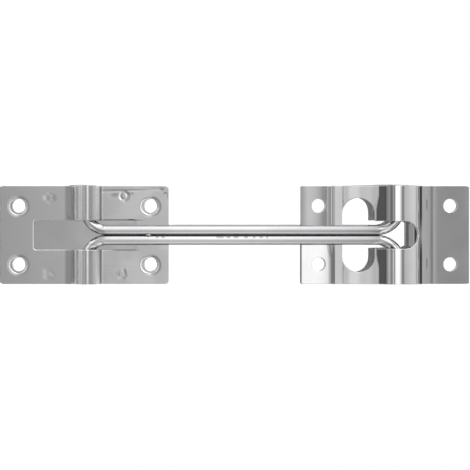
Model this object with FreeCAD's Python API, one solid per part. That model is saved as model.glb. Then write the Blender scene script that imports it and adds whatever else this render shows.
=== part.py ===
import FreeCAD, Part
import math
import os

# Door retainer catch: a two-rod arm with a T-shaped head at each end.
# One head turns in the barrel of a hook plate, the other is caught in the hump of a keeper plate.
# Millimetres. +X runs along the arm from the hook plate to the keeper, +Y across the plates,
# +Z away from the wall. The origin is on the plates' backs, under the middle of the catch.

# Arm
rod_diameter = 4.4
rod_gap = 0.06
arm_span = 141.9
head_length = 31.8
hook_bend_radius = 9.4
keeper_bend_radius = 9.6
rod_end_chamfer = 0.4

# Weld beads in the groove between the rods
bead_length = 2.8
bead_radius = 0.85
bead_end_chamfer = 0.4
bead_height = 1.2
bead_gap = 0.02
hook_bead_distance = 28.5
keeper_bead_distance = 30.0

# Plates
plate_length = 76.2
plate_width = 44.45
hook_sheet = 1.1
hook_corner_radius = 1.5
keeper_sheet = 1.1
keeper_corner_radius = 0.8
edge_break = 0.25

# Clearances
seat_clearance = 0.3
swing_clearance = 0.3
barrel_side_room = 0.3
barrel_head_room = 0.3
head_clearance = 0.75
hump_room = 0.9

# Screw holes: their distances from a plate's outer end, from its inner end and from its sides
hole_outer_inset = 8.6
hole_inner_inset = 7.9
hole_side_inset = 8.975
screw_hole_radius = 3.0
front_hole_radius = 3.6
front_hole_shift_x = -0.45
front_hole_shift_y = -0.35
sink_width = 0.7
sink_depth = 0.4

# Hook plate: window, barrel and spot welds
window_length = 46.0
window_side_gap = 2.2
window_corner_radius = 1.0
barrel_shift = 1.0
head_offset = 0.5
barrel_root_radius = 1.6
spot_radius = 2.65
spot_floor_radius = 1.9
spot_depth = 0.15
spot_pitch_x = 34.0
spot_pitch_y = 35.2

# Keeper: distances along the strip, and the head's place to the right of its middle
keeper_head_shift = 6.2
keeper_flange = 12.1
joggle_run = 1.9
joggle_bend_radius = 1.4
ramp_run = 16.4
ramp_sag = 0.85
ramp_sag_radius = 70.0
ramp_toe_radius = 3.0
rise_run = 3.7
rise_slope = 44.0
rise_bend_radius = 4.0
crown_offset = 5.3
crown_bend_radius = 5.7
brow_run = 6.86
brow_bend_radius = 17.0
roll_slope = 30.0
roll_reach = 9.3
roll_bend_radius = 5.0
heel_bend_radius = 2.3
neck_gap = 0.3

# Keyhole
oval_length = 33.6
oval_width = 14.4
oval_distance = 18.5
slot_side_gap = 1.8
slot_end_land = 1.2

rod_radius = rod_diameter / 2
rod_offset = rod_radius + rod_gap / 2
window_half = rod_offset + rod_radius + window_side_gap
slot_half = rod_offset + rod_radius + slot_side_gap

# Stations along X, with the whole catch centred on the origin
hook_head_inset = plate_length / 2 + barrel_shift - head_offset
keeper_head_inset = plate_length / 2 - keeper_head_shift
overall_length = hook_head_inset + arm_span + keeper_head_inset
hook_left = -overall_length / 2
hook_middle = hook_left + plate_length / 2
barrel_middle = hook_middle + barrel_shift
hook_head_x = hook_left + hook_head_inset
keeper_head_x = hook_head_x + arm_span
keeper_right = overall_length / 2
keeper_left = keeper_right - plate_length
keeper_middle = keeper_right - plate_length / 2

# Heights: the arm lies just clear of the hook plate's face and of the keeper's shoulder
hook_face = 2 * hook_sheet
head_z = hook_face + seat_clearance + rod_radius
shoulder_top = head_z - rod_radius - seat_clearance

# Tall enough to reach past any feature when a shape is cut through
beyond = 40.0


def bend_reach(bend_radius, half_gap):
    """Distance from the head's axis at which the two bends fit between a slot's sides."""
    room = bend_radius - rod_radius - swing_clearance
    across = bend_radius + rod_offset - half_gap
    return bend_radius - math.sqrt(room ** 2 - across ** 2)


def bend_sweep(bend_radius, half_gap):
    """Farthest that a bend stands out from the head's axis beside a slot."""
    across = bend_radius + rod_offset - half_gap
    return bend_radius - math.sqrt((bend_radius - rod_radius) ** 2 - across ** 2)


# The barrel's bore clears the bends as the arm swings over, and so does the underside of the hump
bend_room = bend_sweep(hook_bend_radius, window_half) + swing_clearance
barrel_bore_radius = head_offset + bend_room + barrel_side_room
barrel_ceiling = head_z + bend_reach(hook_bend_radius, window_half) + barrel_head_room
hump_ceiling = head_z + bend_reach(keeper_bend_radius, slot_half) + hump_room


def section_point(corner):
    """A point of the plates' section, in the XZ plane."""
    return FreeCAD.Vector(corner[0], 0, corner[1])


def left_of(direction):
    """Unit vector to the left of a direction in the XZ plane, up for one that runs along +X."""
    return FreeCAD.Vector(-direction.z, 0, direction.x).normalize()


def centreline(corners):
    """Straight runs and tangent bends through corners given as (x, z, bend radius)."""
    pieces = []
    here = section_point(corners[0])
    for before, corner, after in zip(corners, corners[1:], corners[2:]):
        apex = section_point(corner)
        back = (section_point(before) - apex).normalize()
        ahead = (section_point(after) - apex).normalize()
        half_angle = back.getAngle(ahead) / 2
        reach = corner[2] / math.tan(half_angle)
        start = apex + back * reach
        end = apex + ahead * reach
        centre = apex + (back + ahead).normalize() * (corner[2] / math.sin(half_angle))
        middle = centre + (apex - centre).normalize() * corner[2]
        turns_left = (centre - start).dot(left_of(back * -1)) > 0
        if (start - here).Length > 0.001:
            pieces.append(("run", here, start))
        pieces.append(("bend", start, middle, end, centre, corner[2], turns_left))
        here = end
    pieces.append(("run", here, section_point(corners[-1])))
    return pieces


def offset_edges(pieces, distance):
    """Edges that follow a centreline at a distance to its left."""
    edges = []
    for piece in pieces:
        if piece[0] == "run":
            shift = left_of(piece[2] - piece[1]) * distance
            edges.append(Part.LineSegment(piece[1] + shift, piece[2] + shift).toShape())
        else:
            start, middle, end, centre, radius, turns_left = piece[1:]
            growth = -distance if turns_left else distance
            scale = (radius + growth) / radius
            on_arc = [centre + (point - centre) * scale for point in (start, middle, end)]
            edges.append(Part.Arc(*on_arc).toShape())
    return edges


def folded_strip(corners, thickness, width):
    """A sheet folded along its centreline's corners and as wide as the plate, with its outer face."""
    pieces = centreline(corners)
    outer = offset_edges(pieces, thickness / 2)
    inner = offset_edges(pieces, -thickness / 2)
    first_cap = Part.LineSegment(outer[0].firstVertex(True).Point, inner[0].firstVertex(True).Point)
    last_cap = Part.LineSegment(outer[-1].lastVertex(True).Point, inner[-1].lastVertex(True).Point)
    edges = outer + inner + [first_cap.toShape(), last_cap.toShape()]
    outline = Part.Wire(Part.__sortEdges__(edges))
    outline.translate(FreeCAD.Vector(0, -width / 2, 0))
    strip = Part.Face(outline).extrude(FreeCAD.Vector(0, width, 0))
    outer_line = Part.Wire(outer)
    return strip, outer_line


def plan_prism(middle_x, length, width, corner_radius, bottom, top):
    """An upright block with rounded corners, for a plate's outline or a window."""
    block = Part.makeBox(length, width, top - bottom,
                         FreeCAD.Vector(middle_x - length / 2, -width / 2, bottom))
    upright = [edge for edge in block.Edges if abs(edge.tangentAt(edge.FirstParameter).z) > 0.9]
    return block.makeFillet(corner_radius, upright)


def stadium_prism(middle_x, width_x, length_y, bottom, top):
    """An upright block with full-round ends at +Y and -Y."""
    radius = width_x / 2
    straight = length_y - width_x
    block = Part.makeBox(width_x, straight, top - bottom,
                         FreeCAD.Vector(middle_x - radius, -straight / 2, bottom))
    for end_y in (-straight / 2, straight / 2):
        block = block.fuse(Part.makeCylinder(radius, top - bottom, FreeCAD.Vector(middle_x, end_y, bottom)))
    return block.removeSplitter()


def break_rim(solid, outer_line, middle_x, corner_radius):
    """Breaks the outer face's rim, along the plate's sides, its corners and its two ends."""
    rim = []
    for edge in solid.Edges:
        middle = edge.valueAt((edge.FirstParameter + edge.LastParameter) / 2)
        on_side = plate_width / 2 - abs(middle.y) < 0.001
        at_end = plate_length / 2 - abs(middle.x - middle_x) < corner_radius
        in_section = Part.Vertex(FreeCAD.Vector(middle.x, 0, middle.z))
        on_outer_face = in_section.distToShape(outer_line)[0] < 0.001
        if on_outer_face and (on_side or at_end):
            rim.append(edge)
    return solid.makeChamfer(edge_break, rim)


def hole_places(middle_x, outer_side):
    """Plan positions of a plate's four screw holes; outer_side is -1 where its outer end is at -X."""
    outer_x = middle_x + outer_side * (plate_length / 2 - hole_outer_inset)
    inner_x = middle_x - outer_side * (plate_length / 2 - hole_inner_inset)
    half_pitch_y = plate_width / 2 - hole_side_inset
    return [FreeCAD.Vector(x, row * half_pitch_y, 0) for x in (outer_x, inner_x) for row in (-1, 1)]


def drill(solid, places, radius):
    """Straight holes through a plate."""
    for place in places:
        base = FreeCAD.Vector(place.x, place.y, -beyond)
        solid = solid.cut(Part.makeCylinder(radius, 2 * beyond, base))
    return solid


def spot_dish(place_x, place_y):
    """The shallow dish that a welding electrode leaves in the hook plate's face."""
    floor = FreeCAD.Vector(place_x, place_y, hook_face - spot_depth)
    return Part.makeCone(spot_floor_radius, spot_radius, spot_depth, floor)


def hook_front_plate():
    """The pressed front sheet: a barrel across it, a window along it and shallow spot-weld dimples."""
    sheet_z = hook_sheet + hook_sheet / 2
    leg = barrel_bore_radius + hook_sheet / 2
    crown_z = barrel_ceiling + hook_sheet / 2
    corners = [(hook_left, sheet_z),
               (barrel_middle - leg, sheet_z, barrel_root_radius),
               (barrel_middle - leg, crown_z, leg),
               (barrel_middle + leg, crown_z, leg),
               (barrel_middle + leg, sheet_z, barrel_root_radius),
               (hook_left + plate_length, sheet_z)]
    strip, outer_line = folded_strip(corners, hook_sheet, plate_width)
    plan = plan_prism(hook_middle, plate_length, plate_width, hook_corner_radius, 0, beyond)
    plate = break_rim(strip.common(plan), outer_line, hook_middle, hook_corner_radius)
    window = plan_prism(hook_middle, window_length, 2 * window_half, window_corner_radius, 0, beyond)
    plate = plate.cut(window)
    shift = FreeCAD.Vector(front_hole_shift_x, front_hole_shift_y, 0)
    plate = drill(plate, [place + shift for place in hole_places(hook_middle, -1)], front_hole_radius)
    for side in (-1, 1):
        for row in (-1, 1):
            plate = plate.cut(spot_dish(hook_middle + side * spot_pitch_x / 2, row * spot_pitch_y / 2))
    return plate


def hook_back_plate():
    """The flat sheet behind, which closes the window and takes the screws."""
    plate = plan_prism(hook_middle, plate_length, plate_width, hook_corner_radius, 0, hook_sheet)
    return drill(plate, hole_places(hook_middle, -1), screw_hole_radius)


def rod(side):
    """One bent rod of the arm, with half of each T head; side is 1 for +Y and -1 for -Y."""
    line_y = side * rod_offset
    tip_y = side * head_length / 2
    near_bend_y = line_y + side * hook_bend_radius
    far_bend_y = line_y + side * keeper_bend_radius
    diagonal = 1 - math.sqrt(0.5)
    head_start = FreeCAD.Vector(hook_head_x, tip_y, head_z)
    bend_in = FreeCAD.Vector(hook_head_x, near_bend_y, head_z)
    bend_in_middle = FreeCAD.Vector(hook_head_x + hook_bend_radius * diagonal,
                                    line_y + side * hook_bend_radius * diagonal, head_z)
    straight_start = FreeCAD.Vector(hook_head_x + hook_bend_radius, line_y, head_z)
    straight_end = FreeCAD.Vector(keeper_head_x - keeper_bend_radius, line_y, head_z)
    bend_out_middle = FreeCAD.Vector(keeper_head_x - keeper_bend_radius * diagonal,
                                     line_y + side * keeper_bend_radius * diagonal, head_z)
    bend_out = FreeCAD.Vector(keeper_head_x, far_bend_y, head_z)
    head_end = FreeCAD.Vector(keeper_head_x, tip_y, head_z)
    path = Part.Wire([Part.LineSegment(head_start, bend_in).toShape(),
                      Part.Arc(bend_in, bend_in_middle, straight_start).toShape(),
                      Part.LineSegment(straight_start, straight_end).toShape(),
                      Part.Arc(straight_end, bend_out_middle, bend_out).toShape(),
                      Part.LineSegment(bend_out, head_end).toShape()])
    section = Part.Wire(Part.makeCircle(rod_radius, head_start, FreeCAD.Vector(0, 1, 0)))
    bar = path.makePipeShell([section], True, True)
    ends = [edge for edge in bar.Edges
            if edge.BoundBox.YLength < 0.001 and abs(abs(edge.BoundBox.YMin) - head_length / 2) < 0.001]
    return bar.makeChamfer(rod_end_chamfer, ends)


def weld_beads():
    """Beads that fill the groove between the rods, above at one station and below at two."""
    hook_x = hook_head_x + hook_bead_distance
    keeper_x = keeper_head_x - keeper_bead_distance
    beads = []
    along = FreeCAD.Vector(1, 0, 0)
    for middle_x, height in ((hook_x, bead_height), (hook_x, -bead_height), (keeper_x, -bead_height)):
        start = FreeCAD.Vector(middle_x - bead_length / 2, 0, head_z + height)
        bead = Part.makeCylinder(bead_radius, bead_length, start, along)
        ends = [edge for edge in bead.Edges if edge.BoundBox.XLength < 0.001]
        bead = bead.makeChamfer(bead_end_chamfer, ends)
        for side in (-1, 1):
            groove_start = FreeCAD.Vector(middle_x - bead_length, side * rod_offset, head_z)
            bead = bead.cut(Part.makeCylinder(rod_radius + bead_gap, 2 * bead_length, groove_start, along))
        beads.append(max(bead.Solids, key=lambda lump: lump.Volume))
    return Part.makeCompound(beads)


def keeper_corners():
    """Corners of the keeper's centreline, from its left edge over the hump and back along its foot."""
    half = keeper_sheet / 2
    joggle_x = keeper_left + keeper_flange
    shoulder_z = shoulder_top - half
    crown_x = keeper_head_x - crown_offset
    crown_z = hump_ceiling + half
    rise_x = crown_x - rise_run
    rise_z = crown_z - rise_run * math.tan(math.radians(rise_slope))
    toe_x = rise_x - ramp_run
    sag_z = (shoulder_z + rise_z) / 2 - ramp_sag
    brow_x = crown_x + brow_run
    side_x = keeper_head_x + roll_reach - half
    side_z = crown_z - (side_x - brow_x) * math.tan(math.radians(roll_slope))
    neck_x = keeper_head_x + rod_radius + head_clearance + half
    neck_bend = (neck_gap + keeper_sheet) / 2
    heel_z = half + 2 * neck_bend
    return [(keeper_left, half),
            (joggle_x, half, joggle_bend_radius),
            (joggle_x + joggle_run, shoulder_z, joggle_bend_radius),
            (toe_x, shoulder_z, ramp_toe_radius),
            (toe_x + ramp_run / 2, sag_z, ramp_sag_radius),
            (rise_x, rise_z, rise_bend_radius),
            (crown_x, crown_z, crown_bend_radius),
            (brow_x, crown_z, brow_bend_radius),
            (side_x, side_z, roll_bend_radius),
            (side_x, heel_z, heel_bend_radius),
            (neck_x, heel_z, neck_bend),
            (neck_x, half, neck_bend),
            (keeper_right, half)]


def keyhole():
    """The cutter for the keyhole: an oval that lets the head in and a round-ended slot for the rods."""
    oval_x = keeper_head_x - oval_distance
    slot_end_x = keeper_head_x + roll_reach - slot_end_land
    round_x = slot_end_x - slot_half
    oval = stadium_prism(oval_x, oval_width, oval_length, -beyond, beyond)
    slot = Part.makeBox(round_x - oval_x, 2 * slot_half, 2 * beyond,
                        FreeCAD.Vector(oval_x, -slot_half, -beyond))
    slot_end = Part.makeCylinder(slot_half, beyond, FreeCAD.Vector(round_x, 0, head_z))
    return oval.fuse(slot).fuse(slot_end)


def keeper_plate():
    """The keeper, folded from one strip: flange, shoulder, ramp, hump, rolled edge, foot and flange."""
    strip, outer_line = folded_strip(keeper_corners(), keeper_sheet, plate_width)
    plan = plan_prism(keeper_middle, plate_length, plate_width, keeper_corner_radius, -beyond, beyond)
    plate = break_rim(strip.common(plan), outer_line, keeper_middle, keeper_corner_radius)
    plate = plate.cut(keyhole())
    places = hole_places(keeper_middle, 1)
    plate = drill(plate, places, screw_hole_radius)
    for place in places:
        sink_base = FreeCAD.Vector(place.x, place.y, keeper_sheet - sink_depth)
        sink = Part.makeCone(screw_hole_radius, screw_hole_radius + sink_width, sink_depth, sink_base)
        plate = plate.cut(sink)
    return plate


parts = {
    "hook_front_plate": hook_front_plate(),
    "hook_back_plate": hook_back_plate(),
    "arm_rod_upper": rod(1),
    "arm_rod_lower": rod(-1),
    "arm_welds": weld_beads(),
    "keeper_plate": keeper_plate(),
}

os.makedirs("parts", exist_ok=True)
for name, shape in parts.items():
    shape.exportStep("parts/" + name + ".step")
    box = shape.BoundBox
    print(name, len(shape.Solids), "solids, valid", shape.isValid(), "volume", round(shape.Volume, 1),
          "x", round(box.XMin, 2), round(box.XMax, 2), "y", round(box.YMin, 2), round(box.YMax, 2),
          "z", round(box.ZMin, 2), round(box.ZMax, 2))
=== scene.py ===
"""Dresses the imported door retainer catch: two folded plates, a twin-rod arm and its welds, under soft light."""

import logging
import math
from dataclasses import dataclass, field
from enum import Enum
from typing import Callable

import bpy
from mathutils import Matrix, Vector
from mathutils.geometry import delaunay_2d_cdt


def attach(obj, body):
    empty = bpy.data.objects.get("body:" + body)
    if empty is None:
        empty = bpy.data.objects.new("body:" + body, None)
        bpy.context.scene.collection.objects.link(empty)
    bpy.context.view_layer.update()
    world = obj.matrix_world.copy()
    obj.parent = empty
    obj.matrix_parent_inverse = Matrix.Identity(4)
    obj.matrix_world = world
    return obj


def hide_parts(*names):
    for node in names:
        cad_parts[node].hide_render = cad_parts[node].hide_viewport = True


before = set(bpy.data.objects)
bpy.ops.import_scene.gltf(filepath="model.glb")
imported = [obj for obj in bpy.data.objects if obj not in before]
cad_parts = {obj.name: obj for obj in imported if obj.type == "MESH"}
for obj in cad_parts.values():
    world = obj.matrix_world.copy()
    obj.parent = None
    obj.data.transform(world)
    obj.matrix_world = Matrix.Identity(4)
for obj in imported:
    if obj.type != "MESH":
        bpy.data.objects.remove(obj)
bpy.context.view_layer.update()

log = logging.getLogger("door_retainer_catch")
MM = 0.001
PHOTO_SIDE = 470
MM_PER_PIXEL = 0.4536
RIM = "rim"
SHADER_TREE, GEOMETRY_TREE = "ShaderNodeTree", "GeometryNodeTree"
FLOAT, VECTOR, GEOMETRY = "NodeSocketFloat", "NodeSocketVector", "NodeSocketGeometry"
WHOLE, MATERIAL = "NodeSocketInt", "NodeSocketMaterial"
MIX_FIRST, MIX_SECOND, MIX_RESULT = 6, 7, 2
RANDOM_LOW, RANDOM_HIGH, RANDOM_RESULT = 2, 3, 1

Point2 = tuple[float, float]
Point3 = tuple[float, float, float]
Loop = list[Point2]
Relief = Callable[[float, float], float]
Socket = bpy.types.NodeSocket
Object = bpy.types.Object


class Side(Enum):
    """The half of the catch above or below the arm's seam in the photo."""

    UPPER = 1
    LOWER = -1


class Face(Enum):
    """The broad face of a folded sheet."""

    OUTER = 1
    INNER = -1


# ---- Node trees ----

class Nodes:
    """A node tree being built: adds nodes, feeds their inputs and hands out their results."""

    def __init__(self, tree: bpy.types.NodeTree) -> None:
        """Takes a tree over."""
        self.tree = tree

    @classmethod
    def group(cls, name: str, kind: str, inputs: dict[str, object], outputs: dict[str, str]) -> "Nodes":
        """Starts a node group.

        Args:
            name: The group's name.
            kind: The type of its tree.
            inputs: Socket type of each input, or the default of a plain number.
            outputs: Socket type of each output.

        Returns:
            The group, with its own input and output nodes.
        """
        made = cls(bpy.data.node_groups.new(name, kind))
        for label, given in inputs.items():
            plain = isinstance(given, float)
            socket = made.tree.interface.new_socket(name=label, in_out="INPUT",
                                                    socket_type=FLOAT if plain else given)
            if plain:
                socket.default_value = given
        for label, given in outputs.items():
            made.tree.interface.new_socket(name=label, in_out="OUTPUT", socket_type=given)
        made.add("NodeGroupInput").name = "in"
        made.add("NodeGroupOutput").name = "out"
        return made

    @property
    def given(self) -> dict[str, Socket]:
        """The sockets that hand out the group's inputs."""
        return self.tree.nodes["in"].outputs

    def give(self, results: dict[str, Socket]) -> None:
        """Joins the group's outputs."""
        self.feed(self.tree.nodes["out"], results)

    def feed(self, node: bpy.types.Node, inputs: dict[str | int, object]) -> None:
        """Joins a socket or sets a value at each named or numbered input of a node."""
        for label, value in inputs.items():
            if isinstance(value, Socket):
                self.tree.links.new(value, node.inputs[label])
            else:
                node.inputs[label].default_value = value

    def add(self, kind: str, inputs: dict[str | int, object] | None = None,
            **settings: object) -> bpy.types.Node:
        """Adds a node.

        Args:
            kind: The node's type.
            inputs: The socket or value of each input that doesn't stay at its default.
            settings: The node's own options.

        Returns:
            The node.
        """
        node = self.tree.nodes.new(kind)
        for label, value in settings.items():
            setattr(node, label, value)
        self.feed(node, inputs or {})
        return node

    def calc(self, operation: str, *operands: object, clamp: bool = False) -> Socket:
        """Adds a Math node on sockets or numbers and returns its result."""
        node = self.add("ShaderNodeMath", dict(enumerate(operands)), operation=operation, use_clamp=clamp)
        return node.outputs[0]

    def step(self, value: Socket, low: float, high: float, start: float = 0.0, end: float = 1.0) -> Socket:
        """Carries a value smoothly from the range low to high over to start to end, and returns the result."""
        limits = {"Value": value, "From Min": low, "From Max": high, "To Min": start, "To Max": end}
        return self.add("ShaderNodeMapRange", limits, interpolation_type="SMOOTHSTEP").outputs["Result"]

    def noise(self, place: Socket, scale: Socket, detail: float = 2.0) -> Socket:
        """Adds a cloudy pattern and returns its value."""
        inputs = {"Vector": place, "Scale": scale, "Detail": detail}
        return self.add("ShaderNodeTexNoise", inputs).outputs["Fac"]

    def mixed(self, mask: Socket, first: object, second: object) -> Socket:
        """Mixes two colours, each a socket or three numbers, by the second's share, and returns the result."""
        ends = [end if isinstance(end, Socket) else (*end, 1.0) for end in (first, second)]
        return self.add("ShaderNodeMix", {"Factor": mask, MIX_FIRST: ends[0], MIX_SECOND: ends[1]},
                        data_type="RGBA").outputs[MIX_RESULT]

    def placed(self, name: str, inputs: dict[str, object]) -> dict[str, Socket]:
        """Places a shared group and returns its outputs."""
        return self.add("ShaderNodeGroup", inputs, node_tree=bpy.data.node_groups[name]).outputs


def rolled_grain_group() -> None:
    """Makes the fine lines of rolling and drawing: a stretched position becomes a height and a mask."""
    group = Nodes.group("rolled_grain", SHADER_TREE, {"Vector": VECTOR, "Scale": 900.0},
                        {"Height": FLOAT, "Mask": FLOAT})
    fine, coarse = (group.noise(group.given["Vector"], group.calc("MULTIPLY", group.given["Scale"], ratio), detail)
                    for ratio, detail in ((1.0, 3.0), (0.22, 2.0)))
    height = group.calc("ADD", group.calc("MULTIPLY", fine, 0.5), group.calc("MULTIPLY", coarse, 0.5))
    group.give({"Height": height, "Mask": group.step(height, 0.42, 0.62)})


def handling_group() -> None:
    """Makes the cloudy polish of handled steel: a position becomes a haze mask."""
    group = Nodes.group("handling_haze", SHADER_TREE, {"Vector": VECTOR, "Scale": 60.0}, {"Haze": FLOAT})
    cloud = group.noise(group.given["Vector"], group.given["Scale"])
    group.give({"Haze": group.step(cloud, 0.35, 0.65)})


def painted_light_line_group() -> None:
    """Makes a mask for a line of painted shade and painted highlight: one coordinate becomes a mask, 1 on the line
    and 0 beyond its half width.
    """
    group = Nodes.group("painted_light_line", SHADER_TREE, {"Coordinate": 0.0, "Centre": 0.0, "Half width": 0.001},
                        {"Mask": FLOAT})
    away = group.calc("ABSOLUTE", group.calc("SUBTRACT", group.given["Coordinate"], group.given["Centre"]))
    share = group.calc("DIVIDE", away, group.given["Half width"])
    group.give({"Mask": group.step(share, 0.35, 1.0, 1.0, 0.0)})


def rim_wear_and_highlight_group() -> None:
    """Makes rims paler and rougher, as wear and as a painted highlight: the mesh's rim value and a position become
    an uneven mask.
    """
    group = Nodes.group("rim_wear_and_highlight", SHADER_TREE, {"Vector": VECTOR, "Scale": 700.0}, {"Mask": FLOAT})
    rim = group.add("ShaderNodeAttribute", attribute_name=RIM).outputs["Fac"]
    uneven = group.step(group.noise(group.given["Vector"], group.given["Scale"]), 0.3, 0.6, 0.6, 1.0)
    group.give({"Mask": group.calc("MULTIPLY", rim, uneven, clamp=True)})


# ---- Steel finishes ----

@dataclass(frozen=True)
class PaintedLightPatch:
    """A patch of painted shade that darkens a steel surface, or of painted highlight that brightens it where its
    strength is negative.

    Each of x, y and z bounds it with a middle and a half width, in millimetres. One left out doesn't.
    """

    strength: float
    x: Point2 | None = None
    y: Point2 | None = None
    z: Point2 | None = None
    roughness: float = 0.0


@dataclass(frozen=True)
class SteelFinish:
    """A bright steel surface: its colour, its polish, the direction of its grain, its paler rims, partly worn and
    partly a painted highlight, and its patches of painted shade and painted highlight.

    The grain's stretch multiplies the position along each axis, so a small value draws the lines out.
    """

    name: str
    colour: Point3
    hazed_colour: Point3
    roughness: float
    hazed_roughness: float
    grain_stretch: Point3
    grain_scale: float = 900.0
    grain_depth: float = 0.012
    grain_share: float = 0.25
    cloud_scale: float = 60.0
    edge_tint: float = 0.4
    rim_colour: Point3 = (0.95, 0.95, 0.95)
    rim_roughness: float = 0.45
    painted_light: tuple[PaintedLightPatch, ...] = ()

    def material(self) -> bpy.types.Material:
        """Builds the finish as a node material.

        Returns:
            The material.
        """
        made = bpy.data.materials.new(self.name)
        made.use_nodes = True
        nodes = Nodes(made.node_tree)
        place = nodes.add("ShaderNodeTexCoord").outputs["Object"]
        stretched = nodes.add("ShaderNodeMapping", {"Vector": place, "Scale": self.grain_stretch})
        grain = nodes.placed("rolled_grain", {"Vector": stretched.outputs["Vector"], "Scale": self.grain_scale})
        haze = nodes.placed("handling_haze", {"Vector": place, "Scale": self.cloud_scale})["Haze"]
        # rims paler, partly as wear and partly as a painted highlight
        rim_wear_and_highlight_mask = nodes.placed("rim_wear_and_highlight", {"Vector": place})["Mask"]
        dull = nodes.calc("ADD", haze, nodes.calc("MULTIPLY", grain["Mask"], self.grain_share), clamp=True)
        steel = nodes.mixed(rim_wear_and_highlight_mask, nodes.mixed(dull, self.colour, self.hazed_colour), self.rim_colour)
        kept, added = self._painted_light_shares(nodes, place)
        # patches of painted shade and painted highlight scale the steel's colour
        painted_steel = nodes.add("ShaderNodeVectorMath", {0: steel, "Scale": kept}, operation="SCALE")
        rough = nodes.calc("ADD", nodes.step(dull, 0.0, 1.0, self.roughness, self.hazed_roughness), added)
        bump = nodes.add("ShaderNodeBump", {"Distance": self.grain_depth * MM, "Height": grain["Height"]})
        nodes.feed(made.node_tree.nodes["Principled BSDF"], {
            "Metallic": 1.0,
            "Specular Tint": (self.edge_tint, self.edge_tint, self.edge_tint, 1.0),
            "Base Color": painted_steel.outputs["Vector"],
            "Roughness": nodes.calc("MAXIMUM", rough, nodes.calc("MULTIPLY", rim_wear_and_highlight_mask, self.rim_roughness)),
            "Normal": bump.outputs["Normal"]})
        return made

    def _painted_light_shares(self, nodes: Nodes, place: Socket) -> tuple[object, object]:
        """Works out what the patches of painted shade and painted highlight do to the colour and the polish.

        Args:
            nodes: The material's nodes.
            place: The position socket.

        Returns:
            The share of the colour that is left, and the roughness that is added, each a socket or a number.
        """
        axes = nodes.add("ShaderNodeSeparateXYZ", {"Vector": place}).outputs
        kept: object = 1.0
        added: object = 0.0
        for patch in self.painted_light:
            mask: object = 1.0
            for axis, bounds in (("X", patch.x), ("Y", patch.y), ("Z", patch.z)):
                if bounds:
                    line = nodes.placed("painted_light_line", {"Coordinate": axes[axis], "Centre": bounds[0] * MM,
                                                      "Half width": bounds[1] * MM})
                    mask = nodes.calc("MULTIPLY", mask, line["Mask"])
            left = nodes.calc("SUBTRACT", 1.0, nodes.calc("MULTIPLY", mask, patch.strength))
            kept = nodes.calc("MULTIPLY", kept, left)
            added = nodes.calc("ADD", added, nodes.calc("MULTIPLY", mask, patch.roughness))
        return kept, added


LOW, ON_HUMP, ON_BARREL = (1.5, 6.0), (8.0, 6.0), (9.0, 8.0)
FREE_ROD = (3.0, 100.0)
# Painted shade: dark reflection lines on the barrel, parallel to its axis.
BARREL_SHADE_LINES = ((-68.5, 0.3), (-64.4, 1.4), (-60.7, 0.4))
# Painted shade: uneven dark spots along the seam.
SEAM_SHADE_SPOTS = ((-35.0, 0.9), (-32.4, 1.1), (-6.8, 2.4), (-3.0, 1.2), (0.5, 1.6), (5.0, 1.2), (8.6, 0.8),
              (11.8, 1.1), (14.5, 0.6))
HOOK_PAINTED_LIGHT = (
    PaintedLightPatch(0.04, (-66.8, 10.0), roughness=0.08),             # the whole barrel, painted a little darker as shade
    PaintedLightPatch(0.35, (-75.2, 2.4)),                              # painted shade in its left root, and a painted highlight beside it
    PaintedLightPatch(-0.35, (-73.6, 0.8), roughness=0.35),
    PaintedLightPatch(-0.3, (-70.6, 2.6), z=ON_BARREL, roughness=0.1),  # painted highlight on its left side
    PaintedLightPatch(-0.35, (-61.6, 1.3), roughness=0.3),              # painted highlight on its right side
    PaintedLightPatch(0.65, (-52.5, 13.0), (6.75, 0.5)),                # painted shade along the window's edges
    PaintedLightPatch(0.8, (-47.0, 2.0), (6.7, 0.7)),
    PaintedLightPatch(0.65, (-50.0, 7.5), (-6.75, 0.5)),
    PaintedLightPatch(0.3, (-49.0, 16.0), (20.4, 0.7)),                 # painted shade along the dent by the upper edge
    PaintedLightPatch(0.28, (-54.2, 2.4), (18.2, 1.2)),                 # painted shade in the creases beside an electrode mark
    PaintedLightPatch(0.24, (-47.2, 2.0), (18.8, 1.1)),
    *(PaintedLightPatch(0.22, line, z=ON_BARREL) for line in BARREL_SHADE_LINES))
ROD_PAINTED_LIGHT = (
    PaintedLightPatch(0.85, y=(-0.35, 0.3)),                            # painted shade in the seam and on the flank above it
    # a painted highlight beside the seam
    PaintedLightPatch(-0.27, FREE_ROD, (0.55, 0.4), roughness=0.3),
    PaintedLightPatch(0.55, FREE_ROD, (-4.25, 0.75)),                   # painted shade on the outer flanks
    PaintedLightPatch(0.12, FREE_ROD, (4.05, 0.4)),
    *(PaintedLightPatch(0.5, nick, (-1.0, 0.45)) for nick in SEAM_SHADE_SPOTS))
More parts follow.
